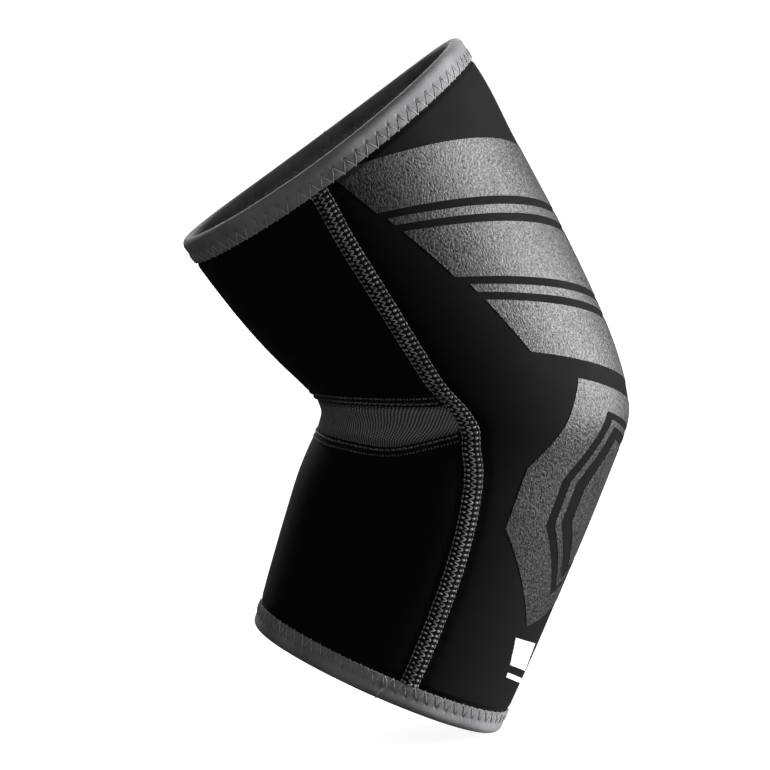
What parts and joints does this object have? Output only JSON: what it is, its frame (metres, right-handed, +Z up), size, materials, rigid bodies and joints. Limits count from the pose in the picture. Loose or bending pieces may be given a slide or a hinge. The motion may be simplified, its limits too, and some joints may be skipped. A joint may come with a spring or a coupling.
{
  "type": "elbow brace",
  "caption": "Pull-on elbow brace: a bent neoprene sleeve with taped rims, raised flatlock side seams and a thin knit insert in the crook.",
  "frame": {"origin": "middle of the hollow at the bend, where the elbow sits", "axes": "+X towards the point of the elbow, -X towards the crook, +Z up towards the upper arm, +Y across the arm; Y = 0 is the mirror plane"},
  "size_m": [0.1379, 0.0988, 0.2153],
  "materials": {
    "neoprene": "black knit-faced neoprene, matt, with a satin grey grip print on the elbow side",
    "knit": "charcoal ribbed stretch knit",
    "tape": "mid-grey woven stretch tape, matt",
    "thread": "charcoal and grey flatlock thread, slightly shiny"
  },
  "bodies": {
    "root": {"outer_panel": "neoprene", "upper_inner_panel": "neoprene", "lower_inner_panel": "neoprene", "crook_insert": "knit", "upper_binding": "tape", "lower_binding": "tape", "near_side_seam": "thread", "far_side_seam": "thread", "upper_crook_seam": "thread", "lower_crook_seam": "thread"}
  },
  "joints": []
}
